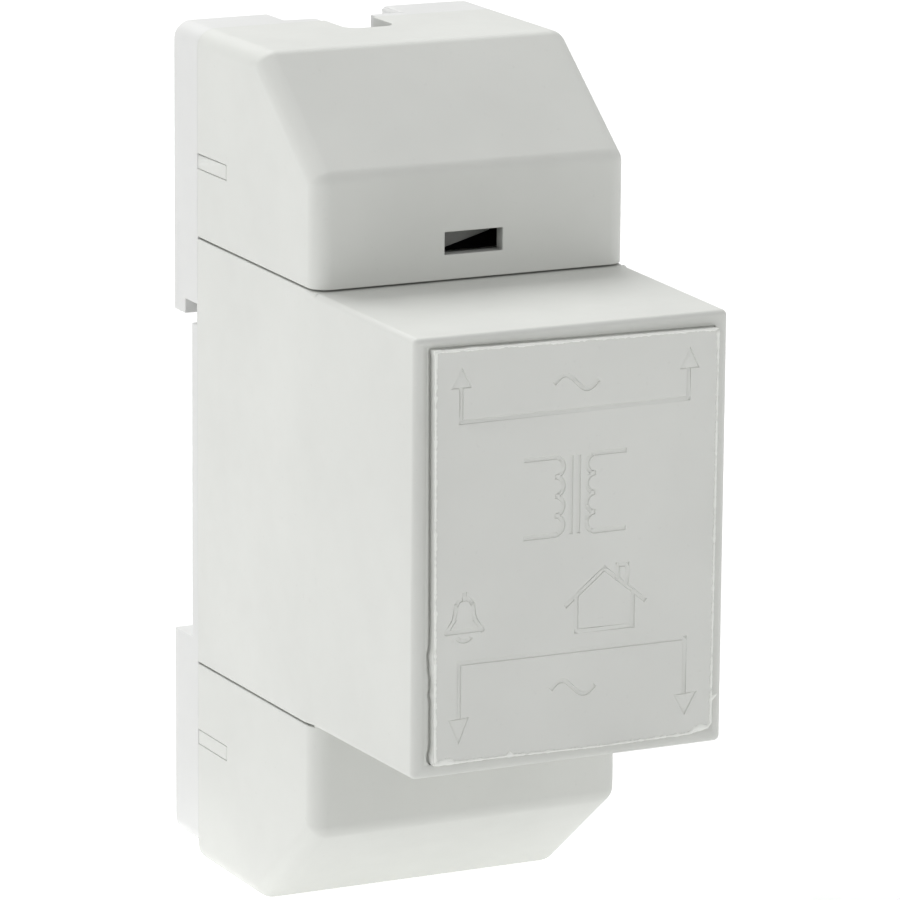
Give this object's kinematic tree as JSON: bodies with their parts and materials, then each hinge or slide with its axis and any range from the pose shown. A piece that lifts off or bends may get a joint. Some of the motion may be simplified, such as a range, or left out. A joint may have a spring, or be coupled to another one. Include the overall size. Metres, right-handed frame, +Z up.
{
  "type": "doorbell transformer",
  "caption": "Rail-mounted doorbell transformer: moulded housing with a projecting nose and rating plate, clip-on terminal covers, and a base with a rail hook and a sprung latch.",
  "frame": {"origin": "in the rail seat on the back of the base, on the centre line of the rail", "axes": "+Z up along the tall side, +X to the right across the width as seen from the front, +Y back towards the rail, so the nose points to -Y"},
  "size_m": [0.0356, 0.0596, 0.0908],
  "materials": {
    "housing_plastic": "fine matte moulding, light grey",
    "plate_plastic": "matte moulding, light grey, trimmed edges",
    "cover_plastic": "fine matte moulding, light grey",
    "base_plastic": "fine matte moulding, pale grey",
    "latch_plastic": "matte moulding, grey",
    "terminal_plastic": "matte moulding, black",
    "bobbin_plastic": "plain moulding, natural",
    "screw_steel": "zinc plated",
    "clamp_steel": "zinc plated",
    "spring_steel": "drawn wire",
    "tag_brass": "stamped strip",
    "core_steel": "stacked laminations",
    "winding_wire": "enamelled copper wire",
    "tape": "polyester tape, yellow",
    "cutout_body": "dark moulding",
    "lead_insulation": "wire insulation, off-white"
  },
  "bodies": {
    "housing": {"main_housing": "housing_plastic", "rating_plate": "plate_plastic", "rear_base": "base_plastic", "base_screws": "screw_steel", "latch_spring": "spring_steel", "secondary_terminal_block": "terminal_plastic", "primary_terminal_block": "terminal_plastic", "secondary_clamps": "clamp_steel", "primary_clamps": "clamp_steel", "secondary_clamp_screws": "screw_steel", "primary_clamp_screws": "screw_steel", "secondary_tags": "tag_brass", "primary_tags": "tag_brass", "e_core": "core_steel", "i_core": "core_steel", "bobbin": "bobbin_plastic", "primary_winding": "winding_wire", "secondary_winding": "winding_wire", "primary_tape": "tape", "secondary_tape": "tape", "thermal_cutout": "cutout_body", "primary_leads": "lead_insulation", "secondary_leads": "lead_insulation", "cutout_lead": "lead_insulation"},
    "upper_cover": {"upper_cover": "cover_plastic"},
    "lower_cover": {"lower_cover": "cover_plastic"},
    "latch": {"rail_latch": "latch_plastic"}
  },
  "joints": [
    {"name": "upper_cover_slide", "type": "slide", "parent": "housing", "child": "upper_cover", "axis": [0, -1, 0], "range_m": [0, 0.06]},
    {"name": "lower_cover_slide", "type": "slide", "parent": "housing", "child": "lower_cover", "axis": [0, -1, 0], "range_m": [0, 0.06]},
    {"name": "latch_slide", "type": "slide", "parent": "housing", "child": "latch", "axis": [0, 0, -1], "range_m": [0, 0.003], "stiffness_N_per_m": 900, "springref_m": -0.004, "deforming": ["latch_spring"]}
  ]
}
